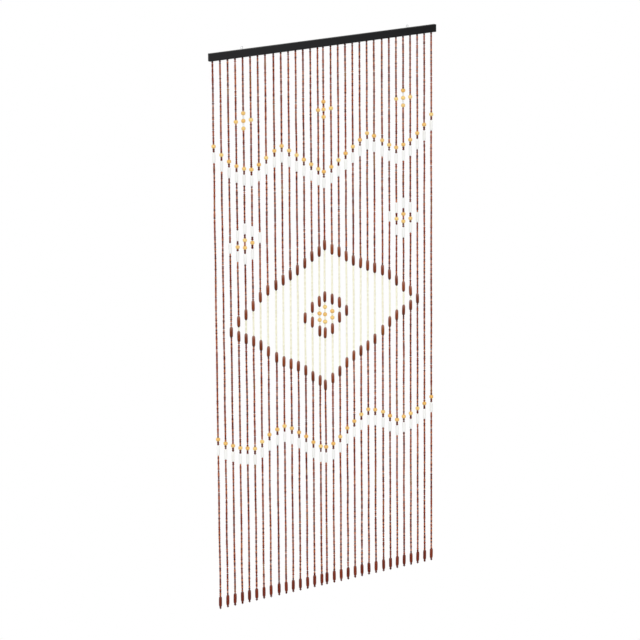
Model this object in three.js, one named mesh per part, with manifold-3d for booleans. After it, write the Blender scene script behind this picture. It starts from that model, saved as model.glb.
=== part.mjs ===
// A door curtain of wooden beads on a flat black headrail, hung by two screw eyes.
// Millimetres, +Z up, +X along the rail, -Y is the front. The origin is midway between the
// middles of the two eyes' rings, where the nails that hold the curtain bear.
import * as THREE from "three";
import { mergeVertices } from "three/addons/utils/BufferGeometryUtils.js";
import Module from "manifold-3d";

const wasm = await Module();
wasm.setup();

// Driving dimensions.
const GAP = 0.3; // between pieces that seat on each other
const RAIL = { length: 900, depth: 12, height: 25.2, easedEdge: 1.5, offCentre: -5 };
const EYE = {
  fromMiddle: 329,
  wire: 1.5,
  ringRadius: 3.9, // to the middle of the wire
  aboveRail: 6, // from the rail's top to the ring's middle
  shank: 2,
  screwed: 10, // length inside the rail
  ringSteps: 16,
  wireSides: 6,
  shankSides: 8,
};
const GROOVE = { length: 886, width: 6, depth: 4 };
const STRANDS = {
  count: 31,
  pitch: 29,
  offCentre: -7.4, // the even pitch's middle from the eyes' middle
  drop: 1838, // from the rail's underside to the end of the knot
  sides: 4,
  intoStrip: 2, // how far a root is sunk in the strip
};
const TOP_KNOT = { width: 5, length: 6.5, firstBead: 7.4 }; // from the rail to the first bead
const KNOT = { width: 2.8, length: 3 }; // under one last small bead

// A square section has the area of the round bead that it stands for.
const CORNER = Math.sqrt(Math.PI / 8);

// Bead sizes. A swelling's shoulders lie at this share of its length from each tip.
const SMALL = { diameter: 6.8, pitch: 6.3 };
const BEADS = {
  gold: { diameter: 13.8, length: 12.9, shoulder: 0.27, shoulderWidth: 0.97 },
  white: { diameter: 10.2, length: 35.8, shoulder: 0.12, shoulderWidth: 0.97 },
  brown: { diameter: 10.6, length: 37.2, shoulder: 0.12, shoulderWidth: 0.97 },
};

// Runs of strands that hang evenly but stand a little aside of the even pitch.
const RUNS = [
  { from: 1, to: 8, aside: 0 },
  { from: 9, to: 15, aside: 3.3 },
  { from: 16, to: 16, aside: -3.8 },
  { from: 17, to: 23, aside: -2.9 },
  { from: 24, to: 31, aside: 0.4 },
];

// The chart from the side strand to the middle one, in small beads: how many of them would
// reach from the rail to each large bead's middle. The two bands are gold beads with a white
// one under each, the diamond is brown beads.
const CHART = [
  { strand: 1, upperBand: 44, lowerBand: 199 },
  { strand: 2, upperBand: 49, lowerBand: 202 },
  { strand: 3, upperBand: 53, lowerBand: 204, diamondTop: 143 },
  { strand: 4, upperBand: 56, lowerBand: 206, diamondTop: 138, diamondFoot: 146 },
  { strand: 5, upperBand: 58, lowerBand: 207, diamondTop: 135, diamondFoot: 148 },
  { strand: 6, upperBand: 59, lowerBand: 208, diamondTop: 131, diamondFoot: 150 },
  { strand: 7, upperBand: 57, lowerBand: 205, diamondTop: 127, diamondFoot: 153 },
  { strand: 8, upperBand: 54, lowerBand: 202, diamondTop: 124, diamondFoot: 157 },
  { strand: 9, upperBand: 51, lowerBand: 200, diamondTop: 122, diamondFoot: 161 },
  { strand: 10, upperBand: 49, lowerBand: 199, diamondTop: 120, diamondFoot: 164 },
  { strand: 11, upperBand: 52, lowerBand: 201, diamondTop: 118, diamondFoot: 166 },
  { strand: 12, upperBand: 55, lowerBand: 204, diamondTop: 116, diamondFoot: 168 },
  { strand: 13, upperBand: 58, lowerBand: 207, diamondTop: 113, diamondFoot: 171 },
  { strand: 14, upperBand: 61, lowerBand: 211, diamondTop: 110, diamondFoot: 175 },
  { strand: 15, upperBand: 64, lowerBand: 214, diamondTop: 108, diamondFoot: 178 },
  { strand: 16, upperBand: 66, lowerBand: 215, diamondTop: 105, diamondFoot: 181 },
];
const WHITE_UNDER_GOLD = 37; // in the bands, from middle to middle, in millimetres
const END_BEAD = 1812;

// Small motifs, in small beads too. Outward counts strands from the motif's middle strand to
// the curtain's side.
const CROSS = [
  { outward: -1, bead: "gold", below: 0 },
  { outward: 0, bead: "gold", below: -4 },
  { outward: 0, bead: "gold", below: 0 },
  { outward: 0, bead: "gold", below: 4 },
  { outward: 1, bead: "gold", below: 0 },
];
const ROSETTE = [
  { outward: -2, bead: "white", below: -2 },
  { outward: -1, bead: "white", below: -6 },
  { outward: -1, bead: "gold", below: 0 },
  { outward: -1, bead: "white", below: 6 },
  { outward: 0, bead: "white", below: -8 },
  { outward: 0, bead: "gold", below: -2 },
  { outward: 0, bead: "gold", below: 2 },
  { outward: 0, bead: "white", below: 8 },
  { outward: 1, bead: "white", below: -5 },
  { outward: 1, bead: "gold", below: 1 },
  { outward: 1, bead: "white", below: 6 },
  { outward: 2, bead: "white", below: 1 },
];
const FLOWER = [
  { outward: 0, bead: "brown", below: -9.5 },
  { outward: 0, bead: "gold", below: -4 },
  { outward: 0, bead: "gold", below: 0 },
  { outward: 0, bead: "gold", below: 4 },
  { outward: 0, bead: "brown", below: 10 },
  { outward: 1, bead: "brown", below: -7.5 },
  { outward: 1, bead: "gold", below: -1 },
  { outward: 1, bead: "gold", below: 2.5 },
  { outward: 1, bead: "brown", below: 8.5 },
  { outward: 2, bead: "brown", below: -5 },
  { outward: 2, bead: "brown", below: 3 },
  { outward: 3, bead: "brown", below: 0 },
];
const MOTIFS = [
  { form: CROSS, strand: 5, from: 33 },
  { form: CROSS, strand: 16, from: 33 },
  { form: ROSETTE, strand: 5, from: 97.5 },
  { form: FLOWER, strand: 16, from: 142.5 },
];

// Derived places.
const MIDDLE = (STRANDS.count + 1) / 2;
const RAIL_TOP = -EYE.aboveRail;
const RAIL_FOOT = RAIL_TOP - RAIL.height;
const STRIP = {
  length: GROOVE.length - 2 * GAP,
  width: GROOVE.width - 2 * GAP,
  height: GROOVE.depth - GAP,
};

// A closed geometry as a solid for joining and cutting, and back again.
function solidOf(geometry) {
  const bare = new THREE.BufferGeometry();
  const flat = geometry.index ? geometry.toNonIndexed() : geometry;
  bare.setAttribute("position", flat.getAttribute("position"));
  const merged = mergeVertices(bare, 1e-4);
  return new wasm.Manifold(
    new wasm.Mesh({
      numProp: 3,
      vertProperties: merged.attributes.position.array,
      triVerts: new Uint32Array(merged.index.array),
    }),
  );
}

function geometryOf(solid) {
  const mesh = solid.getMesh();
  const geometry = new THREE.BufferGeometry();
  geometry.setAttribute("position", new THREE.BufferAttribute(mesh.vertProperties, 3));
  geometry.setIndex(new THREE.BufferAttribute(mesh.triVerts, 1));
  geometry.computeVertexNormals();
  return geometry;
}

function block(length, width, height, x, y, z) {
  return new THREE.BoxGeometry(length, width, height).translate(x, y, z);
}

// An upright round bar between two heights.
function upright(radius, sides, x, foot, top) {
  return new THREE.CylinderGeometry(radius, radius, top - foot, sides)
    .rotateX(Math.PI / 2)
    .translate(x, 0, (top + foot) / 2);
}

// The rail's section with eased long edges, drawn across its depth and height.
function railBar() {
  const y = RAIL.depth / 2;
  const z = RAIL.height / 2;
  const e = RAIL.easedEdge;
  const section = new THREE.Shape([
    new THREE.Vector2(-y + e, -z),
    new THREE.Vector2(y - e, -z),
    new THREE.Vector2(y, -z + e),
    new THREE.Vector2(y, z - e),
    new THREE.Vector2(y - e, z),
    new THREE.Vector2(-y + e, z),
    new THREE.Vector2(-y, z - e),
    new THREE.Vector2(-y, -z + e),
  ]);
  const bar = new THREE.ExtrudeGeometry(section, {
    depth: RAIL.length - 2 * e,
    bevelEnabled: true,
    bevelThickness: e,
    bevelSize: e / 2,
    bevelOffset: -e / 2,
    bevelSegments: 1,
  });
  bar.translate(0, 0, e - RAIL.length / 2);
  bar.rotateZ(Math.PI / 2).rotateY(Math.PI / 2).rotateX(Math.PI);
  return bar.translate(RAIL.offCentre, 0, RAIL_TOP - z);
}

function headrail() {
  const groove = block(
    GROOVE.length,
    GROOVE.width,
    2 * GROOVE.depth,
    RAIL.offCentre,
    0,
    RAIL_FOOT,
  );
  let rail = solidOf(railBar()).subtract(solidOf(groove));
  for (const side of [-1, 1]) {
    const hole = upright(
      EYE.shank / 2 + GAP,
      EYE.shankSides,
      side * EYE.fromMiddle,
      RAIL_TOP - EYE.screwed - GAP,
      RAIL_TOP + 1,
    );
    rail = rail.subtract(solidOf(hole));
  }
  return geometryOf(rail);
}

// A ring of wire across the rail, with its shank down into the rail's hole.
function screwEye() {
  const ring = new THREE.TorusGeometry(
    EYE.ringRadius,
    EYE.wire / 2,
    EYE.wireSides,
    EYE.ringSteps,
  ).rotateX(Math.PI / 2);
  const shank = upright(
    EYE.shank / 2,
    EYE.shankSides,
    0,
    RAIL_TOP - EYE.screwed,
    -EYE.ringRadius,
  );
  return geometryOf(solidOf(ring).add(solidOf(shank)));
}

// Strands are numbered from the left, and the chart counts them from the nearer side.
function fromSide(strand) {
  return Math.min(strand, STRANDS.count + 1 - strand);
}

function strandPlace(strand) {
  const run = RUNS.find((r) => strand >= r.from && strand <= r.to);
  return (strand - MIDDLE) * STRANDS.pitch + run.aside + STRANDS.offCentre;
}

// Every large bead of one strand, from the rail down.
function beadsOf(strand) {
  const row = CHART.find((r) => r.strand === fromSide(strand));
  const beads = [{ bead: "brown", drop: END_BEAD }];
  for (const count of [row.upperBand, row.lowerBand]) {
    const drop = count * SMALL.pitch;
    beads.push({ bead: "gold", drop }, { bead: "white", drop: drop + WHITE_UNDER_GOLD });
  }
  for (const count of [row.diamondTop, row.diamondFoot])
    if (count) beads.push({ bead: "brown", drop: count * SMALL.pitch });
  for (const { form, strand: middle, from } of MOTIFS)
    for (const { outward, bead, below } of form) {
      const onStrand = fromSide(strand) === middle - outward;
      if (onStrand) beads.push({ bead, drop: (from + below) * SMALL.pitch });
    }
  return beads.sort((a, b) => a.drop - b.drop);
}

// A strand is a four-sided stem that swells at each large bead. Its profile is pairs of a
// corner's radius and a drop, from the root in the strip, past the knot under the rail and down
// to the knot at the end, and is then turned round so that the faces point out.
function strandSolid(strand) {
  const stem = SMALL.diameter * CORNER;
  const profile = [];
  const add = (radius, drop) => profile.push(new THREE.Vector2(radius, RAIL_FOOT - drop));
  add(0, -STRANDS.intoStrip);
  add(TOP_KNOT.width * CORNER, -STRANDS.intoStrip);
  add(TOP_KNOT.width * CORNER, TOP_KNOT.length);
  add(stem, TOP_KNOT.firstBead);
  for (const { bead, drop } of beadsOf(strand)) {
    const { diameter, length, shoulder, shoulderWidth } = BEADS[bead];
    const tip = length / 2;
    const shoulderAt = tip - shoulder * length;
    const wide = diameter * shoulderWidth * CORNER;
    add(stem, drop - tip);
    add(wide, drop - shoulderAt);
    add(wide, drop + shoulderAt);
    add(stem, drop + tip);
  }
  add(stem, STRANDS.drop - KNOT.length);
  add(KNOT.width * CORNER, STRANDS.drop);
  add(0, STRANDS.drop);
  const lathe = new THREE.LatheGeometry(profile.reverse(), STRANDS.sides, Math.PI / 4);
  return solidOf(lathe.rotateX(Math.PI / 2).translate(strandPlace(strand), 0, 0));
}

// The strings are knotted to one strip that sits in the rail's groove.
function strands() {
  const strip = block(
    STRIP.length,
    STRIP.width,
    STRIP.height,
    RAIL.offCentre,
    0,
    RAIL_FOOT + STRIP.height / 2,
  );
  let joined = solidOf(strip);
  for (let strand = 1; strand <= STRANDS.count; strand++)
    joined = joined.add(strandSolid(strand));
  return geometryOf(joined);
}

const blackPaint = new THREE.MeshStandardMaterial({
  color: 0x1d1d1e,
  roughness: 0.5,
  metalness: 0,
});
const brownWood = new THREE.MeshStandardMaterial({
  color: 0x6b2e1c,
  roughness: 0.45,
  metalness: 0,
});
const steel = new THREE.MeshStandardMaterial({
  color: 0xb9bcc0,
  roughness: 0.3,
  metalness: 1,
});

function named(name, geometry, material) {
  const mesh = new THREE.Mesh(geometry, material);
  mesh.name = name;
  return mesh;
}

const curtain = new THREE.Group();
curtain.add(named("headrail", headrail(), blackPaint));
curtain.add(named("strands", strands(), brownWood));
const leftEye = named("eye_left", screwEye(), steel);
leftEye.position.x = -EYE.fromMiddle;
const rightEye = named("eye_right", screwEye(), steel);
rightEye.position.x = EYE.fromMiddle;
curtain.add(leftEye, rightEye);

export default curtain;
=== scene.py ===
# A door curtain of wooden beads under a black rail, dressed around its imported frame.
import math

import bpy
import numpy as np
from mathutils import Matrix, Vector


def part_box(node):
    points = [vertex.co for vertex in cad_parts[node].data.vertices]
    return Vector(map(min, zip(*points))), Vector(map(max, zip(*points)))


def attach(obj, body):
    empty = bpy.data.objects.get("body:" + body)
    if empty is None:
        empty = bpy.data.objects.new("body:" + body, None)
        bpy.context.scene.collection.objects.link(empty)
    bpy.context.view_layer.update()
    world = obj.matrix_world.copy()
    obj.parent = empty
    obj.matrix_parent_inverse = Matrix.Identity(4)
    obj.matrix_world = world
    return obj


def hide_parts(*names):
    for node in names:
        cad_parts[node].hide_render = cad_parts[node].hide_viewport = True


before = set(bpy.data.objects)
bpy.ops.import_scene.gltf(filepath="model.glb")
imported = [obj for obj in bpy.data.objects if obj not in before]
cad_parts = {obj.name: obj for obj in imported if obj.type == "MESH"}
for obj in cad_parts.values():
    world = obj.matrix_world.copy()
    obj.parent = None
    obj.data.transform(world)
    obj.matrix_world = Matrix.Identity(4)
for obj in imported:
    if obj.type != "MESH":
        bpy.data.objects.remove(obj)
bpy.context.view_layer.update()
mm = 0.001
rng = np.random.default_rng(31)
bpy.context.scene.view_settings.view_transform = "Standard"
sharpFrom = 52  # degrees between two faces, past which their edge is shaded sharp

# The rail's faces in millimetres, from the frame
railLow, railHigh = (np.array(corner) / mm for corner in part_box("headrail"))
railMiddle = (railLow + railHigh) / 2
railFoot = railLow[2]
print("frame loaded: %d nodes, rail %.0f mm long" % (len(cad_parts), railHigh[0] - railLow[0]))


# Camera at the photo's angle. Azimuth 0 looks along +Y, and a long lens stands far back.
photoView = {
    "aim": (-0.0316, 0.0, -0.9453),
    "azimuth": -35.1,
    "elevation": 14.38,
    "roll": -0.46,
    "distance": 12.226,
    "lens": 208.0,
    "sensor": 36.0,
    "seesTo": 200.0,
}


def makeCamera(look):
    # back points from the aim to the camera, and roll turns right and up about it
    data = bpy.data.cameras.new("camera")
    data.lens = look["lens"]
    data.sensor_width = look["sensor"]
    data.clip_end = look["seesTo"]
    az, el, roll = (math.radians(look[key]) for key in ("azimuth", "elevation", "roll"))
    back = np.array([math.sin(az) * math.cos(el), -math.cos(az) * math.cos(el), math.sin(el)])
    right = np.array([math.cos(az), math.sin(az), 0.0])
    up = np.cross(back, right)
    place = np.eye(4)
    place[:3, 0] = math.cos(roll) * right + math.sin(roll) * up
    place[:3, 1] = math.cos(roll) * up - math.sin(roll) * right
    place[:3, 2] = back
    place[:3, 3] = np.array(look["aim"]) + back * look["distance"]
    camera = bpy.data.objects.new("camera", data)
    camera.matrix_world = Matrix(place.tolist())
    bpy.context.scene.collection.objects.link(camera)
    bpy.context.scene.camera = camera


makeCamera(photoView)
print("camera set")


# Shader maths
class Wire:
    # One socket of a material's tree. Arithmetic on it adds Math nodes.
    def __init__(self, tree, socket=None):
        self.tree = tree
        self.socket = socket

    def node(self, kind, settings=None, values=None, output=0):
        # settings come first, because some of them decide which sockets there are
        made = self.tree.nodes.new("ShaderNode" + kind)
        for key, value in (settings or {}).items():
            if key == "stops":
                ramp = made.color_ramp.elements
                while len(ramp) < len(value):
                    ramp.new(1.0)
                for stop, (place, colour) in zip(ramp, value):
                    stop.position = place
                    stop.color = (*colour, 1.0)
            else:
                setattr(made, key, value)
        for key, value in (values or {}).items():
            if isinstance(value, Wire):
                self.tree.links.new(value.socket, made.inputs[key])
            else:
                made.inputs[key].default_value = value
        return Wire(self.tree, made.outputs[output] if made.outputs else None)

    def maths(self, operation, first, second):
        return self.node("Math", {"operation": operation}, {0: first, 1: second})

    def __add__(self, other):
        return self.maths("ADD", self, other)

    def __sub__(self, other):
        return self.maths("SUBTRACT", self, other)

    def __rsub__(self, other):
        return self.maths("SUBTRACT", other, self)

    def __mul__(self, other):
        return self.maths("MULTIPLY", self, other)

    def __pow__(self, other):
        return self.maths("POWER", self, other)

    def clamped(self):
        return self.node("Clamp", {}, {0: self})

    __radd__ = __add__
    __rmul__ = __mul__


def startMaterial(name):
    material = bpy.data.materials.new(name)
    material.use_nodes = True
    material.node_tree.nodes.clear()
    return material, Wire(material.node_tree)


def surface(start, values):
    shader = start.node("BsdfPrincipled", {}, values)
    start.node("OutputMaterial", {}, {0: shader})


def attribute(start, name):
    return start.node("Attribute", {"attribute_name": name}, {}, "Fac")


def noise(start, scale, drawn=(1.0, 1.0, 1.0), detail=3.0):
    # noise in metres of the object, drawn out along the axis whose number is small
    place = start.node("TexCoord", {}, {}, "Object")
    mapped = start.node("Mapping", {}, {"Vector": place, "Scale": drawn})
    return start.node("TexNoise", {}, {"Vector": mapped, "Scale": scale, "Detail": detail})


def blend(start, factor, first, second, kind="MIX"):
    # colours meet in a Mix node, because Math would turn them grey. Its colour sockets are 6, 7 and 2.
    pair = [tint if isinstance(tint, Wire) else (*tint, 1.0) for tint in (first, second)]
    settings = {"data_type": "RGBA", "blend_type": kind}
    return start.node("Mix", settings, {0: factor, 6: pair[0], 7: pair[1]}, 2)


def bump(start, height, strength, depth):
    # depth is in metres
    return start.node("Bump", {}, {"Height": height, "Strength": strength, "Distance": depth})


# Lacquered wood, one look for each sort of bead. Each bead has its own tone, from 0 to 1.
# along runs from -1 at a bead's foot to 1 at its top, and places a painted highlight at the top and
# painted shade at the foot and at both ends.
smallBrown = {
    "dye": [
        (0.0, (0.120, 0.010, 0.002)),
        (0.35, (0.205, 0.020, 0.004)),
        (0.65, (0.345, 0.052, 0.010)),
        (1.0, (0.560, 0.175, 0.065)),
    ],
    "warmDye": (0.330, 0.130, 0.030),
    "endShade": 0.5,
    "topHighlightShare": 0.0,
    "footShadeShare": 0.0,
    "grain": 0.45,
    "roughness": 0.42,
    "coat": 0.08,
}
# the long brown beads carry a strong painted highlight on the top and painted shade at the foot
longBrown = {
    "dye": [
        (0.0, (0.140, 0.024, 0.007)),
        (0.5, (0.235, 0.044, 0.011)),
        (1.0, (0.310, 0.072, 0.019)),
    ],
    "warmDye": (0.330, 0.105, 0.020),
    "endShade": 0.45,
    "topHighlightShare": 0.62,
    "footShadeShare": 0.80,
    "grain": 0.40,
    "roughness": 0.34,
    "coat": 0.12,
}
endBrown = {
    **longBrown,
    "dye": [(0.0, (0.120, 0.014, 0.004)), (0.5, (0.182, 0.021, 0.005)), (1.0, (0.245, 0.035, 0.009))],
    "topHighlightShare": 0.06,
    "footShadeShare": 0.05,
}
goldLook = {
    "dye": [
        (0.0, (0.860, 0.490, 0.125)),
        (0.5, (0.905, 0.585, 0.185)),
        (1.0, (0.930, 0.670, 0.240)),
    ],
    "warmDye": (0.860, 0.480, 0.110),
    "endShade": 0.25,
    "topHighlightShare": 0.0,
    "footShadeShare": 0.15,
    "grain": 0.20,
    "roughness": 0.34,
    "coat": 0.4,
}
whiteLook = {
    "dye": [(0.0, (0.880, 0.890, 0.870)), (1.0, (0.945, 0.950, 0.930))],
    "warmDye": (0.940, 0.930, 0.880),
    "endShade": 0.08,
    "topHighlightShare": 0.0,
    "footShadeShare": 0.0,
    "grain": 0.04,
    "roughness": 0.34,
    "coat": 0.4,
}
creamLook = {
    "dye": [(0.0, (0.900, 0.880, 0.680)), (1.0, (0.980, 0.970, 0.800))],
    "warmDye": (0.900, 0.850, 0.640),
    "endShade": 0.12,
    "topHighlightShare": 0.0,
    "footShadeShare": 0.0,
    "grain": 0.08,
    "roughness": 0.38,
    "coat": 0.2,
}

# What every lacquer has: grain and pores in the wood and streaks of late wood. Along each bead there is
# also a painted highlight at the top, painted shade at the foot and painted shade at the bore's mouths
# where beads meet. Each of these has a colour and the power of along that keeps it near a bead's end.
lacquer = {
    "grain": 2600.0,
    "pores": 9000.0,
    "drawn": (1.0, 1.0, 0.12),
    "lateWood": [(0.36, (0.40, 0.34, 0.32)), (0.56, (1.0, 1.0, 1.0))],
    "topHighlight": ((0.42, 0.22, 0.16), 1.5),
    "footShade": ((0.10, 0.06, 0.04), 2.5),
    "mouths": ((0.30, 0.25, 0.22), 6.0),
    "uneven": 0.16,
    "specular": 0.15,
    "coatRoughness": 0.15,
    "poreShare": 0.3,
    "bump": 0.5,
    "depth": 0.00004,
}


def lacquered(name, look):
    material, start = startMaterial(name)
    tone = attribute(start, "tone")
    warm = attribute(start, "warm")
    along = attribute(start, "along")
    grain = noise(start, lacquer["grain"], lacquer["drawn"])
    pores = noise(start, lacquer["pores"], lacquer["drawn"], 2.0)
    dyed = start.node("ValToRGB", {"stops": look["dye"]}, {0: tone})
    dyed = blend(start, warm, dyed, look["warmDye"])
    streaks = start.node("ValToRGB", {"stops": lacquer["lateWood"]}, {0: grain})
    dyed = blend(start, look["grain"], dyed, streaks, "MULTIPLY")
    # painted highlight at the top, painted shade at the foot and painted shade at the bore's mouths
    # where beads meet
    up = along.clamped()
    down = (along * -1.0).clamped()
    tint, power = lacquer["topHighlight"]
    dyed = blend(start, up ** power * look["topHighlightShare"], dyed, tint)
    tint, power = lacquer["footShade"]
    dyed = blend(start, down ** power * look["footShadeShare"], dyed, tint, "MULTIPLY")
    tint, power = lacquer["mouths"]
    dyed = blend(start, (up + down) ** power * look["endShade"], dyed, tint, "MULTIPLY")
    relief = grain * (1 - lacquer["poreShare"]) + pores * lacquer["poreShare"]
    surface(start, {
        "Base Color": dyed,
        "Roughness": (grain - 0.5) * lacquer["uneven"] + look["roughness"],
        "Specular IOR Level": lacquer["specular"],
        "Coat Weight": look["coat"],
        "Coat Roughness": lacquer["coatRoughness"],
        "Normal": bump(start, relief, lacquer["bump"], lacquer["depth"]),
    })
    return material


# Black paint over a grain that runs along X, with wide brush marks, and a painted sheen that pales the
# left end. The share of paint without the painted sheen is gain * x + offset, with x in metres.
paintLook = {
    "sheenGrey": (0.0140, 0.0143, 0.0151),
    "black": (0.0030, 0.0031, 0.0035),
    "worn": (0.022, 0.022, 0.023),
    "wear": 0.6,
    "sheenlessShare": (1.6, 0.3),
    "grain": 700.0,
    "grainDrawn": (0.04, 1.0, 1.0),
    "brush": 90.0,
    "brushDrawn": (0.06, 1.0, 1.0),
    "roughness": 0.38,
    "uneven": 0.14,
    "specular": 0.12,
    "brushShare": 0.25,
    "bump": 0.45,
    "depth": 0.00009,
}


def paintedWood(name, look):
    material, start = startMaterial(name)
    grain = noise(start, look["grain"], look["grainDrawn"], 4.0)
    brushed = noise(start, look["brush"], look["brushDrawn"], 2.0)
    # a painted sheen pales the left half and fades out towards the right end
    place = start.node("TexCoord", {}, {}, "Object")
    across = start.node("SeparateXYZ", {}, {0: place}, "X")
    gain, offset = look["sheenlessShare"]
    sheenlessShare = (across * gain + offset).clamped()
    black = blend(start, 1 - sheenlessShare, look["black"], look["sheenGrey"])
    relief = grain * (1 - look["brushShare"]) + brushed * look["brushShare"]
    surface(start, {
        "Base Color": blend(start, grain * brushed * look["wear"], black, look["worn"]),
        "Roughness": (brushed - 0.5) * look["uneven"] + look["roughness"],
        "Specular IOR Level": look["specular"],
        "Normal": bump(start, relief, look["bump"], look["depth"]),
    })
    return material


# Bright zinc with a faint cloud in it
zincLook = {
    "cloud": 1200.0,
    "dull": (0.52, 0.53, 0.55),
    "bright": (0.74, 0.75, 0.77),
    "roughness": 0.2,
    "uneven": 0.2,
    "bump": 0.2,
    "depth": 0.00003,
}


def platedSteel(name, look):
    material, start = startMaterial(name)
    cloud = noise(start, look["cloud"])
    surface(start, {
        "Base Color": blend(start, cloud, look["dull"], look["bright"]),
        "Metallic": 1.0,
        "Roughness": cloud * look["uneven"] + look["roughness"],
        "Normal": bump(start, cloud, look["bump"], look["depth"]),
    })
    return material


# Twisted yarn: stripes of a wave that lies aslant, under a fuzz
yarnLook = {
    "pale": (0.060, 0.028, 0.018),
    "dark": (0.018, 0.009, 0.006),
    "slant": (0.5, 0.6, 0.0),
    "twist": 900.0,
    "distortion": 1.5,
    "fuzz": 9000.0,
    "fuzzShare": 0.4,
    "roughness": 0.8,
    "uneven": 0.1,
    "bump": 0.6,
    "depth": 0.00008,
}
tapeLook = {**yarnLook, "pale": (0.020, 0.019, 0.018), "dark": (0.006, 0.006, 0.006)}


def twistedYarn(name, look):
    material, start = startMaterial(name)
    place = start.node("TexCoord", {}, {}, "Object")
    tilted = start.node("Mapping", {}, {"Vector": place, "Rotation": look["slant"]})
    stripes = {"Vector": tilted, "Scale": look["twist"], "Distortion": look["distortion"]}
    twist = start.node("TexWave", {"bands_direction": "Z"}, stripes)
    fuzz = noise(start, look["fuzz"])
    paleness = twist * (1 - look["fuzzShare"]) + fuzz * look["fuzzShare"]
    surface(start, {
        "Base Color": blend(start, paleness, look["dark"], look["pale"]),
        "Roughness": fuzz * look["uneven"] + look["roughness"],
        "Normal": bump(start, twist, look["bump"], look["depth"]),
    })
    return material


blackPaint = paintedWood("blackPaint", paintLook)
zinc = platedSteel("zincPlate", zincLook)
brownYarn = twistedYarn("brownYarn", yarnLook)
tape = twistedYarn("blackTape", tapeLook)
brownLacquer = lacquered("brownLacquer", smallBrown)
redLacquer = lacquered("redBrownLacquer", longBrown)
endLacquer = lacquered("endBrownLacquer", endBrown)
goldLacquer = lacquered("goldLacquer", goldLook)
whiteLacquer = lacquered("whiteLacquer", whiteLook)
creamLacquer = lacquered("creamLacquer", creamLook)
print("materials made")


def addPiece(name, points, faceSets, material, replaced, values=None):
    # points in millimetres; each face set holds faces of one number of corners
    corners = np.concatenate([faces.ravel() for faces in faceSets])
    counts = np.concatenate([np.full(len(faces), faces.shape[1]) for faces in faceSets])
    mesh = bpy.data.meshes.new(name)
    mesh.vertices.add(len(points))
    mesh.vertices.foreach_set("co", (points * mm).astype(np.float32).ravel())
    mesh.loops.add(len(corners))
    mesh.loops.foreach_set("vertex_index", corners.astype(np.int32))
    mesh.polygons.add(len(counts))
    mesh.polygons.foreach_set("loop_start", (np.cumsum(counts) - counts).astype(np.int32))
    mesh.update(calc_edges=True)
    mesh.shade_smooth()
    mesh.set_sharp_from_angle(angle=math.radians(sharpFrom))
    for key, value in (values or {}).items():
        held = mesh.attributes.new(key, "FLOAT", "POINT")
        held.data.foreach_set("value", value.astype(np.float32))
    mesh.materials.append(material)
    piece = bpy.data.objects.new(name, mesh)
    bpy.context.scene.collection.objects.link(piece)
    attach(piece, "root")
    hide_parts(*replaced)
    print("%s: %d triangles" % (name, int((counts - 2).sum())))


def bands(rows, around, loop=False):
    # quads between neighbouring rows of points, each row a closed ring
    low = np.arange(rows if loop else rows - 1)[:, None]
    here = np.arange(around)[None, :]
    high = (low + 1) % rows
    beside = (here + 1) % around
    corners = (low * around + here, low * around + beside, high * around + beside, high * around + here)
    return np.stack(corners, -1).reshape(-1, 4)


def lids(rows, around):
    # a flat face on the first ring and one on the last
    ring = np.arange(around)
    return np.stack([ring[::-1], ring + (rows - 1) * around])


# The headrail: a slat with rounded edges and a stopped groove under it for the tape. easedEnd
# gives, for each ring at an end, how far it is from the end and how far it is drawn in.
slat = {
    "rounding": 0.5,
    "arc": 5,
    "support": 0.35,
    "grooveLength": 886.0,
    "groove": (6.0, 4.0),
    "hair": 0.02,
    "rings": 15,
    "ringsFromEnd": 30,
    "easedEnd": [(0.6, 0), (0.2, 0.1), (0, 0.4)],
    "bow": (0.12, 210.0),
}


def roundedSection(wide, high, rounding, arc, support):
    # a quarter circle at each corner, with a point a little way along each flat beside it
    turn = np.linspace(0, np.pi / 2, arc)
    parts = []
    for quarter in range(4):
        a = turn + (quarter - 1) * np.pi / 2
        aslant = (quarter - 0.5) * np.pi / 2
        middle = np.sign([math.cos(aslant), math.sin(aslant)]) * (np.array([wide, high]) / 2 - rounding)
        curve = middle + rounding * np.stack([np.cos(a), np.sin(a)], 1)
        first = curve[0] + support * np.array([math.sin(a[0]), -math.cos(a[0])])
        last = curve[-1] + support * np.array([-math.sin(a[-1]), math.cos(a[-1])])
        parts += [first[None], curve, last[None]]
    return np.concatenate(parts)


def sweptBar(section, ends):
    # the section carried along X: ends gives each ring's x and how far it is drawn in
    drawn = np.array([inset for _, inset in ends])[:, None]
    size = np.abs(section).max(0)
    across = section[None, :, 0] * (1 - drawn / size[0])
    upward = section[None, :, 1] * (1 - drawn / size[1])
    x = np.broadcast_to(np.array([place for place, _ in ends])[:, None], across.shape)
    return np.stack([x, across, upward], -1)


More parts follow.
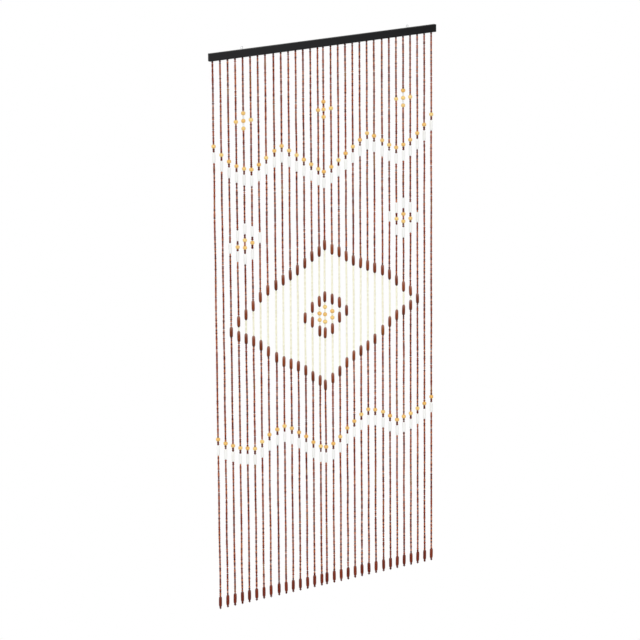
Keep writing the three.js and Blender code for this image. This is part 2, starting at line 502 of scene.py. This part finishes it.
def makeRail():
    wide, high = railHigh[1] - railLow[1], railHigh[2] - railLow[2]
    outline = roundedSection(wide, high, slat["rounding"], slat["arc"], slat["support"])
    grooveWide, grooveDeep = slat["groove"]
    # the groove's four points go in at the underside, which the section crosses first
    cut = np.array([[-1, 0], [-1, 1], [1, 1], [1, 0]]) * [grooveWide / 2, 0] + [0, -high / 2]
    outline = np.concatenate([cut, outline])
    half, cutHalf = railHigh[0] - railMiddle[0], slat["grooveLength"] / 2
    right = [(cutHalf, 0), (cutHalf + slat["hair"], 0)]
    right += [(half - fromEnd, inset) for fromEnd, inset in slat["easedEnd"]]
    reach = cutHalf - slat["ringsFromEnd"]
    inner = [(x, 0) for x in np.linspace(-reach, reach, slat["rings"])]
    ends = [(-x, inset) for x, inset in right[::-1]] + inner + right
    points = sweptBar(outline, ends)
    # the groove rises only between its own ends, and elsewhere it is a hair deep
    x = points[:, 0, 0]
    rise = np.where(np.abs(x) <= cutHalf, grooveDeep, slat["hair"])
    points[:, 1, 2] += rise
    points[:, 2, 2] += rise
    # a sawn slat is never quite straight: y grows by bow sin(x / wave)
    bow, wave = slat["bow"]
    points[..., 1] += bow * np.sin(points[..., 0] / wave)
    points += railMiddle
    rows, around = points.shape[:2]
    # the outline runs counterclockwise as seen from +X, which turns every face outwards
    addPiece("headrailSlat", points.reshape(-1, 3), [bands(rows, around), lids(rows, around)],
             blackPaint, ["headrail"])


makeRail()


# The tape that the strings are sewn to, in the groove
tapeBar = {
    "length": 885.4,
    "wide": 5.4,
    "high": 3.7,
    "rounding": 0.6,
    "arc": 4,
    "support": 0.2,
    "eased": 0.4,
    "rings": 30,
    "ringsFromEnd": 20,
}


def makeTape():
    size = [tapeBar[key] for key in ("wide", "high", "rounding", "arc", "support")]
    half, eased = tapeBar["length"] / 2, tapeBar["eased"]
    reach = half - tapeBar["ringsFromEnd"]
    inner = [(x, 0) for x in np.linspace(-reach, reach, tapeBar["rings"])]
    ends = [(-half, eased), (-half + eased, 0)] + inner + [(half - eased, 0), (half, eased)]
    points = sweptBar(roundedSection(*size), ends)
    points += [railMiddle[0], 0, railFoot + tapeBar["high"] / 2]
    rows, around = points.shape[:2]
    addPiece("stringTape", points.reshape(-1, 3), [bands(rows, around), lids(rows, around)],
             tape, ["strands"])


makeTape()


def tubes(paths, radii, around, reference):
    # rings about each path: reference is laid square to the path, then turned round it
    along = np.gradient(paths, axis=1)
    along /= np.linalg.norm(along, axis=-1, keepdims=True)
    side = np.cross(along, reference)
    side /= np.linalg.norm(side, axis=-1, keepdims=True)
    other = np.cross(along, side)
    angle = np.linspace(0, 2 * np.pi, around, endpoint=False)
    ring = np.cos(angle)[:, None] * side[:, :, None] + np.sin(angle)[:, None] * other[:, :, None]
    points = paths[:, :, None] + radii[:, None, None] * ring
    count, rows = paths.shape[:2]
    shift = (np.arange(count) * rows * around)[:, None, None]
    faceSets = [(faces[None] + shift).reshape(-1, faces.shape[1])
                for faces in (bands(rows, around), lids(rows, around))]
    return points.reshape(-1, 3), faceSets


# Screw eyes: one wire that goes up out of the rail and is bent round into a ring
eyeWire = {
    "fromMiddle": 329.0,
    "ring": 3.9,
    "wire": 1.5,
    "foot": -15.9,
    "sweep": 336.0,
    "ringPoints": 90,
    "shankPoints": 43,
    "bend": 9,
    "tip": 0.7,
    "around": 12,
}


def makeEye(name, node, x):
    # the ring is x = r cos a, z = r sin a, from its lowest point round
    turn = np.radians(-90 + np.linspace(0, eyeWire["sweep"], eyeWire["ringPoints"]))
    ring = eyeWire["ring"] * np.stack([np.cos(turn), np.zeros(len(turn)), np.sin(turn)], 1)
    foot, top = [0, 0, eyeWire["foot"]], [0, 0, -eyeWire["ring"]]
    shank = np.linspace(foot, top, eyeWire["shankPoints"], endpoint=False)
    path = np.concatenate([shank, ring])
    # a moving average rounds the corner between shank and ring
    bend = eyeWire["bend"]
    padded = np.pad(path, ((bend // 2, bend // 2), (0, 0)), "edge")
    path = np.stack([np.convolve(padded[:, k], np.ones(bend) / bend, "valid") for k in range(3)], 1)
    path = path[::2] + [x, 0, 0]
    radii = np.full(len(path), eyeWire["wire"] / 2)
    radii[-1] *= eyeWire["tip"]
    points, faceSets = tubes(path[None], radii, eyeWire["around"], np.array([0.0, 1.0, 0.0]))
    addPiece(name, points, faceSets, zinc, [node])


makeEye("eyeWireLeft", "eye_left", -eyeWire["fromMiddle"])
makeEye("eyeWireRight", "eye_right", eyeWire["fromMiddle"])


# Where the strands hang, in millimetres. A run, from one strand to another, may stand a little
# aside of the even pitch. Each strand wanders in slow waves, which grow in below the rail.
hanging = {
    "count": 31,
    "pitch": 29.0,
    "offCentre": -7.4,
    "runs": [(1, 8, 0.0), (9, 15, 3.3), (16, 16, -3.8), (17, 23, -2.9), (24, 31, 0.4)],
    "topStop": (1.0, 6.8),
    "firstBead": 7.4,
    "knotTop": 1835.6,
    "drop": 1838.0,
    "wander": 0.3,
    "waves": (160, 420),
    "secondWave": 0.5,
    "growIn": 90,
}

# How many small beads would reach from the rail to each large bead's middle, from the side
# strand to the middle one. Each band is a gold bead with a white one under it, and the
# diamond is long brown beads.
chart = {
    "upperBand": [44, 49, 53, 56, 58, 59, 57, 54, 51, 49, 52, 55, 58, 61, 64, 66],
    "lowerBand": [199, 202, 204, 206, 207, 208, 205, 202, 200, 199, 201, 204, 207, 211, 214, 215],
    "diamondTop": [None, None, 143, 138, 135, 131, 127, 124, 122, 120, 118, 116, 113, 110, 108, 105],
    "diamondFoot": [None, None, None, 146, 148, 150, 153, 157, 161, 164, 166, 168, 171, 175, 178, 181],
}
whiteUnderGold = 37  # millimetres from a band's gold bead down to its white one
pairWithin = 45  # a gold and a white bead that are nearer than this are such a pair
endBead = 1812  # millimetres from the rail down to the end beads

# Small motifs: strands outward of the motif's middle one, sort of bead, and small beads below
cross = [(-1, "gold", 0), (0, "gold", -4), (0, "gold", 0), (0, "gold", 4), (1, "gold", 0)]
rosette = [
    (-2, "white", -2),
    (-1, "white", -6), (-1, "gold", 0), (-1, "white", 6),
    (0, "white", -8), (0, "gold", -2), (0, "gold", 2), (0, "white", 8),
    (1, "white", -5), (1, "gold", 1), (1, "white", 6),
    (2, "white", 1),
]
flower = [
    (0, "brown", -9.5), (0, "gold", -4), (0, "gold", 0), (0, "gold", 4), (0, "brown", 10),
    (1, "brown", -7.5), (1, "gold", -1), (1, "gold", 2.5), (1, "brown", 8.5),
    (2, "brown", -5), (2, "brown", 3),
    (3, "brown", 0),
]
# Each motif with its middle one's strand, and small beads from the rail to its middle
motifs = [(cross, 5, 33), (cross, 16, 33), (rosette, 5, 97.5), (flower, 16, 142.5)]
whiteCross = {"side": 5, "drops": (150, 260)}  # its small beads are white, and drops are in millimetres

# Beads, in millimetres. A turned bead's profile is r = R (1 - |t| ^ power) ^ (1/2).
beadSizes = {
    "gold": {"diameter": 14.2, "length": 13.3, "bore": 2.6, "power": 2.5, "rows": 12, "around": 20},
    "white": {"diameter": 10.2, "length": 35.8, "bore": 3.0, "power": 8.0, "rows": 17, "around": 16},
    "brown": {"diameter": 10.8, "length": 37.8, "bore": 3.0, "power": 5.5, "rows": 17, "around": 16},
}
smallBead = {
    "diameter": 6.9,
    "pitch": 6.3,
    "seam": 0.05,
    "heights": [-0.5, -0.36, 0.0, 0.36, 0.5],
    "shares": [0.44, 0.89, 1.0, 0.89, 0.44],
    "around": 8,
    "uneven": 0.09,
    "gapShare": 0.07,
    "gap": 1.3,
}
unevenLimit = {"length": 2.0, "girth": 1.6}  # no bead differs by more of its spread than this


def turned(radii, heights, around):
    # x = r cos a and y = r sin a, one ring of points for each height
    angle = np.linspace(0, 2 * np.pi, around, endpoint=False)
    x = radii[:, None] * np.cos(angle)
    y = radii[:, None] * np.sin(angle)
    z = np.broadcast_to(heights[:, None], x.shape)
    return np.stack([x, y, z], -1).reshape(-1, 3)


def boredBead(size):
    # the outer rows end at the bore's mouths, and the band that closes the loop is the bore
    reach = (1 - (size["bore"] / size["diameter"]) ** 2) ** (1 / size["power"])
    t = reach * np.sin(np.linspace(-np.pi / 2, np.pi / 2, size["rows"]))
    radii = size["diameter"] / 2 * np.sqrt(1 - np.abs(t) ** size["power"])
    points = turned(radii, t / reach * size["length"] / 2, size["around"])
    return points, [bands(size["rows"], size["around"], loop=True)]


def barrelBead(size):
    # a few rings and two lids, because there are thousands of these
    heights = np.array(size["heights"]) * (size["pitch"] - size["seam"])
    radii = np.array(size["shares"]) * size["diameter"] / 2
    rows = len(heights)
    points = turned(radii, heights, size["around"])
    return points, [bands(rows, size["around"]), lids(rows, size["around"])]


def unevenAlong(count, reach):
    # white noise blurred along the string and brought back to unit spread
    reachOut = np.arange(-3 * reach, 3 * reach + 1)
    kernel = np.exp(-0.5 * (reachOut / reach) ** 2)
    wide = rng.standard_normal(count + 6 * reach)
    return np.convolve(wide, kernel, "valid") / np.sqrt((kernel ** 2).sum())


def strandX(strand):
    aside = next(a for first, last, a in hanging["runs"] if first <= strand <= last)
    return (strand - (hanging["count"] + 1) / 2) * hanging["pitch"] + aside + hanging["offCentre"]


strandPlaces = np.array([strandX(strand) for strand in range(1, hanging["count"] + 1)])
wanderPhase = rng.uniform(0, 2 * np.pi, (hanging["count"], 4))
wanderWave = rng.uniform(*hanging["waves"], (hanging["count"], 4))


def stringAt(strand, drop):
    # the string's place: two slow waves across and two in depth, and none at the rail
    k = strand.astype(int) - 1
    slack = hanging["wander"] * (1 - np.exp(-drop / hanging["growIn"]))
    wave = np.sin(2 * np.pi * drop[..., None] / wanderWave[k] + wanderPhase[k])
    x = strandPlaces[k] + slack * (wave[..., 0] + hanging["secondWave"] * wave[..., 1])
    y = slack * (wave[..., 2] + hanging["secondWave"] * wave[..., 3])
    return np.stack([x, y, railFoot - drop], -1)


def largeBeads(strand):
    # sort and drop of each large bead of one strand, from the rail down
    side = min(strand, hanging["count"] + 1 - strand)
    pitch = smallBead["pitch"]
    row = {key: counts[side - 1] * pitch for key, counts in chart.items() if counts[side - 1]}
    beads = [("brown", row[key]) for key in ("diamondTop", "diamondFoot") if key in row]
    for key in ("upperBand", "lowerBand"):
        beads += [("gold", row[key]), ("white", row[key] + whiteUnderGold)]
    for form, middle, count in motifs:
        onStrand = [bead[1:] for bead in form if side == middle - bead[0]]
        beads += [(sort, (count + below) * pitch) for sort, below in onStrand]
    return sorted(beads + [("end", endBead)], key=lambda bead: bead[1])


def smallSort(strand, above, below):
    # the small beads between two large ones are cream inside the diamond, white in a cross
    side = min(strand, hanging["count"] + 1 - strand)
    top, foot = chart["diamondTop"][side - 1], chart["diamondFoot"][side - 1]
    middle = (above[1] + below[1]) / 2
    if top and foot and top < middle / smallBead["pitch"] < foot:
        return "smallCream"
    if above[0] == "end":
        return "endStop"
    if {above[0], below[0]} == {"gold", "white"} and below[1] - above[1] < pairWithin:
        return "goldToWhite"
    inCross = side == whiteCross["side"] and whiteCross["drops"][0] < middle < whiteCross["drops"][1]
    if inCross and above[0] == "gold" and below[0] == "gold":
        return "smallWhite"
    return "smallBrown"


def sizeOf(sort):
    return beadSizes["brown" if sort == "end" else sort]


def smallRun(top, foot):
    # beads of uneven length with a slack place here and there, stretched to fill the run
    count = max(1, round((foot - top) / smallBead["pitch"]))
    spread = np.clip(rng.standard_normal(count), -unevenLimit["length"], unevenLimit["length"])
    lengths = smallBead["pitch"] * (1 + smallBead["uneven"] * spread)
    gaps = np.where(rng.random(count) < smallBead["gapShare"], smallBead["gap"], 0.0)
    scale = (foot - top) / (lengths + gaps).sum()
    feet = top + np.cumsum(lengths + gaps) * scale
    return feet - (lengths / 2 + gaps) * scale, lengths * scale / smallBead["pitch"]


def threadCurtain():
    # every bead by sort, as rows of strand, drop and stretch along the string
    threaded = {}
    for strand in range(1, hanging["count"] + 1):
        beads = largeBeads(strand)
        for sort, drop in beads:
            threaded.setdefault(sort, []).append(np.array([[strand, drop, 1.0]]))
        first, last = hanging["topStop"]
        topStop = [[strand, (first + last) / 2, (last - first) / smallBead["pitch"]]]
        threaded.setdefault("topStop", []).append(np.array(topStop))
        tops = [hanging["firstBead"]] + [drop + sizeOf(sort)["length"] / 2 for sort, drop in beads]
        feet = [drop - sizeOf(sort)["length"] / 2 for sort, drop in beads] + [hanging["knotTop"]]
        around = [("rail", 0)] + beads + [("knot", hanging["drop"])]
        for k, (top, foot) in enumerate(zip(tops, feet)):
            drops, stretch = smallRun(top, foot)
            rows = np.stack([np.full(len(drops), strand), drops, stretch], 1)
            threaded.setdefault(smallSort(strand, around[k], around[k + 1]), []).append(rows)
    return {sort: np.concatenate(rows) for sort, rows in threaded.items()}


threaded = threadCurtain()
print("threaded: " + ", ".join("%d %s" % (len(rows), sort) for sort, rows in threaded.items()))

# Tones change from bead to bead, slowly along a string, and from string to string
toneSpread = {
    "middle": 0.5,
    "bead": 0.10,
    "beside": 0.36,
    "slow": 0.11,
    "strand": 0.06,
    "warmFrom": 1.75,
    "warmGain": 1.4,
    "step": 4.4,
    "slowReach": 7,
    "warmReach": 3,
}
toneSteps = np.arange(0, hanging["drop"] + toneSpread["step"], toneSpread["step"])


def unevenStrands(reach):
    return np.stack([unevenAlong(len(toneSteps), reach) for _ in range(hanging["count"])])


slowTone = unevenStrands(toneSpread["slowReach"])
warmRuns = unevenStrands(toneSpread["warmReach"])
strandTone = rng.standard_normal(hanging["count"])


def shades(rows):
    strand = rows[:, 0].astype(int) - 1
    step = np.clip(np.round(rows[:, 1] / toneSpread["step"]).astype(int), 0, len(toneSteps) - 1)
    tone = toneSpread["middle"] + toneSpread["bead"] * rng.standard_normal(len(rows))
    # neighbours differ more than beads further apart: n[k] - (n[k - 1] + n[k + 1]) / 2
    mixed = rng.standard_normal(len(rows) + 2)
    tone += toneSpread["beside"] * (mixed[1:-1] - (mixed[:-2] + mixed[2:]) / 2)
    tone += toneSpread["slow"] * slowTone[strand, step] + toneSpread["strand"] * strandTone[strand]
    warm = (warmRuns[strand, step] - toneSpread["warmFrom"]) * toneSpread["warmGain"]
    return np.clip(tone, 0, 1), np.clip(warm, 0, 1)


def tumbled(count, tilt):
    # a small lean about X and Y, after any turn about the string
    a, b = np.radians(tilt) * rng.standard_normal((2, count))
    c = rng.uniform(0, 2 * np.pi, count)
    one, none = np.ones(count), np.zeros(count)
    rowsX = [[one, none, none], [none, np.cos(a), -np.sin(a)], [none, np.sin(a), np.cos(a)]]
    rowsY = [[np.cos(b), none, np.sin(b)], [none, one, none], [-np.sin(b), none, np.cos(b)]]
    rowsZ = [[np.cos(c), -np.sin(c), none], [np.sin(c), np.cos(c), none], [none, none, one]]
    turnX, turnY, turnZ = (np.moveaxis(np.array(rows), 2, 0) for rows in (rowsX, rowsY, rowsZ))
    return turnX @ turnY @ turnZ


# How each sort sits on its string: its lean in degrees, the spread of its girth, how much wider
# it is than its form, and which part of its lacquer's tones it has
usual = {"lean": 4.0, "uneven": 0.05, "wider": 1.0, "tones": (0.0, 1.0)}
strung = {
    "smallBrown": {**usual, "uneven": 0.075},
    "topStop": {**usual, "lean": 3.0, "uneven": 0.03, "tones": (0.0, 0.15)},
    # the end stop takes the darkest tones: painted shade on the small bead under each end bead
    "endStop": {**usual, "lean": 6.0, "uneven": 0.03, "wider": 1.15, "tones": (0.0, 0.15)},
    "goldToWhite": {**usual, "wider": 1.1, "tones": (0.0, 0.2)},
    "smallCream": usual,
    "smallWhite": usual,
    "gold": {**usual, "lean": 3.0, "uneven": 0.03},
    "white": {**usual, "lean": 0.8, "uneven": 0.02, "tones": (0.15, 0.85)},
    "brown": {**usual, "lean": 0.8, "uneven": 0.02, "tones": (0.22, 0.78)},
    "end": {**usual, "lean": 0.8, "uneven": 0.02, "tones": (0.25, 0.75)},
}


def stringBeads(name, sort, rows, form, material):
    # every copy is turn . (size x form) + its place on the string, all copies at once
    points, faceSets = form
    count, each = len(rows), len(points)
    spread = np.clip(rng.standard_normal(count), -unevenLimit["girth"], unevenLimit["girth"])
    girth = strung[sort]["wider"] * (1 + strung[sort]["uneven"] * spread)
    sizes = np.stack([girth, girth, rows[:, 2]], 1)
    turns = tumbled(count, strung[sort]["lean"])
    placed = np.einsum("kij,kpj->kpi", turns, sizes[:, None] * points)
    placed += stringAt(rows[:, 0], rows[:, 1])[:, None]
    shift = (np.arange(count) * each)[:, None, None]
    faces = [(face[None] + shift).reshape(-1, face.shape[1]) for face in faceSets]
    tone, warm = shades(rows)
    darkest, palest = strung[sort]["tones"]
    values = {
        "tone": np.repeat(darkest + tone * (palest - darkest), each),
        "warm": np.repeat(warm * (palest - darkest), each),
        "along": np.tile(points[:, 2] / points[:, 2].max(), count),
    }
    addPiece(name, placed.reshape(-1, 3), faces, material, ["strands"], values)


barrel = barrelBead(smallBead)
brownRows = threaded["smallBrown"]
for first, last in ((1, 8), (9, 16), (17, 24), (25, 31)):
    inPart = (brownRows[:, 0] >= first) & (brownRows[:, 0] <= last)
    name = "brownBeads%02dto%02d" % (first, last)
    stringBeads(name, "smallBrown", brownRows[inPart], barrel, brownLacquer)
for name, sort, form, material, slot in (
    ("topStopBeads", "topStop", barrel, brownLacquer, "brown_beads"),
    ("endStopBeads", "endStop", barrel, brownLacquer, "brown_beads"),
    ("goldToWhiteBeads", "goldToWhite", barrel, brownLacquer, "brown_beads"),
    ("creamBeads", "smallCream", barrel, creamLacquer, "cream_beads"),
    ("whiteSmallBeads", "smallWhite", barrel, whiteLacquer, "white_beads"),
    ("goldBeads", "gold", boredBead(beadSizes["gold"]), goldLacquer, "gold_beads"),
    ("whiteLongBeads", "white", boredBead(beadSizes["white"]), whiteLacquer, "white_beads"),
    ("brownLongBeads", "brown", boredBead(beadSizes["brown"]), redLacquer, "long_brown_beads"),
    ("endBeads", "end", boredBead(beadSizes["brown"]), endLacquer, "long_brown_beads"),
):
    stringBeads(name, sort, threaded[sort], form, material)


# Strings, from the tape down through every bead to a knot
yarn = {"wide": 1.1, "intoTape": 1.5, "rows": 60, "around": 5}
endKnot = {
    "turns": 3.2,
    "top": 1835.9,
    "high": 1.7,
    "radius": 0.85,
    "swell": (0.7, 0.3),
    "wide": 0.95,
    "rows": 40,
    "around": 6,
}


def makeStrings():
    strands = np.arange(1, hanging["count"] + 1)
    drops = np.linspace(-yarn["intoTape"], hanging["drop"], yarn["rows"])
    grid = np.broadcast_to(drops, (len(strands), len(drops)))
    paths = stringAt(np.broadcast_to(strands[:, None], grid.shape), np.maximum(grid, 0))
    paths[..., 2] = railFoot - grid
    radii = np.full(yarn["rows"], yarn["wide"] / 2)
    points, faceSets = tubes(paths, radii, yarn["around"], np.array([0.0, 1.0, 0.0]))
    addPiece("strings", points, faceSets, brownYarn, ["strands"])


def makeKnots():
    # the string wound round itself: x = r cos a, y = r sin a, and z falls as a grows
    strands = np.arange(1, hanging["count"] + 1)
    turn = np.linspace(0, endKnot["turns"] * 2 * np.pi, endKnot["rows"])
    start = rng.uniform(0, 2 * np.pi, len(strands))[:, None]
    least, more = endKnot["swell"]
    swell = endKnot["radius"] * (least + more * np.sin(np.linspace(0, np.pi, endKnot["rows"])))
    top = stringAt(strands, np.full(len(strands), endKnot["top"]))
    x = top[:, 0, None] + swell * np.cos(turn + start)
    y = top[:, 1, None] + swell * np.sin(turn + start)
    z = top[:, 2, None] - endKnot["high"] * np.linspace(0, 1, endKnot["rows"])
    radii = np.full(endKnot["rows"], endKnot["wide"] / 2)
    paths = np.stack([x, y, z], -1)
    points, faceSets = tubes(paths, radii, endKnot["around"], np.array([0.0, 0.0, 1.0]))
    addPiece("endKnots", points, faceSets, brownYarn, ["strands"])


makeStrings()
makeKnots()


# A pale floor below the strands, a soft studio with its light overhead and a broad key lamp
stage = {
    "floor": -2.0,
    "half": 60.0,
    "pale": 1.0,
    "roughness": 0.9,
    "backdrop": 1.0,
    "studio": [(0.0, (0.47, 0.47, 0.47)), (0.45, (0.49, 0.49, 0.49)),
               (0.60, (0.56, 0.56, 0.56)), (0.85, (0.69, 0.69, 0.69))],
    "sides": {"axis": (0.82, -0.57, 0.0), "strength": 0.42},
    "key": {"strength": 1.42, "angle": 26.0, "azimuth": -40.0, "elevation": 30.0},
}


def makeStage():
    half, height = stage["half"], stage["floor"]
    mesh = bpy.data.meshes.new("floor")
    square = [(x * half, y * half, height) for x, y in ((-1, -1), (1, -1), (1, 1), (-1, 1))]
    mesh.from_pydata(square, [], [(0, 1, 2, 3)])
    material, start = startMaterial("paleFloor")
    surface(start, {
        "Base Color": (0.0, 0.0, 0.0, 1.0),
        "Roughness": stage["roughness"],
        "Specular IOR Level": 0.0,
        "Emission Color": (1.0, 1.0, 1.0, 1.0),
        "Emission Strength": stage["pale"],
    })
    mesh.materials.append(material)
    floor = bpy.data.objects.new("floor", mesh)
    bpy.context.scene.collection.objects.link(floor)
    # the bright floor is seen, but the beads are lit by the studio's darker lower half
    floor.visible_diffuse = False
    floor.visible_glossy = False
    floor.visible_shadow = False


def makeLight():
    # the backdrop is white where it is seen, and what lights the curtain is a dimmer studio
    world = bpy.data.worlds.new("studio")
    world.use_nodes = True
    world.node_tree.nodes.clear()
    start = Wire(world.node_tree)
    direction = start.node("TexCoord")
    height = start.node("SeparateXYZ", {}, {0: direction}, "Z")
    # the ramp runs from 0 straight below to 1 straight above
    ramp = start.node("ValToRGB", {"stops": stage["studio"]}, {0: height * 0.5 + 0.5})
    # two wide lamps stand left and right: brightness grows with (direction . axis) ^ 2
    sides = stage["sides"]
    dot = {"operation": "DOT_PRODUCT"}
    facing = start.node("VectorMath", dot, {0: direction, 1: sides["axis"]}, "Value")
    brightness = ramp + facing * facing * sides["strength"]
    white = (1.0, 1.0, 1.0, 1.0)
    studio = start.node("Background", {}, {"Color": white, "Strength": brightness})
    backdrop = start.node("Background", {}, {"Color": white, "Strength": stage["backdrop"]})
    seen = start.node("LightPath", {}, {}, "Is Camera Ray")
    start.node("OutputWorld", {}, {0: start.node("MixShader", {}, {0: seen, 1: studio, 2: backdrop})})
    bpy.context.scene.world = world
    key = stage["key"]
    data = bpy.data.lights.new("key", "SUN")
    data.energy = key["strength"]
    data.angle = math.radians(key["angle"])
    lamp = bpy.data.objects.new("key", data)
    # a lamp shines along its own -Z, so it is tipped up from straight down and turned
    lamp.rotation_euler = (math.radians(90 - key["elevation"]), 0, math.radians(key["azimuth"]))
    bpy.context.scene.collection.objects.link(lamp)


makeStage()
makeLight()
print("stage and light set")
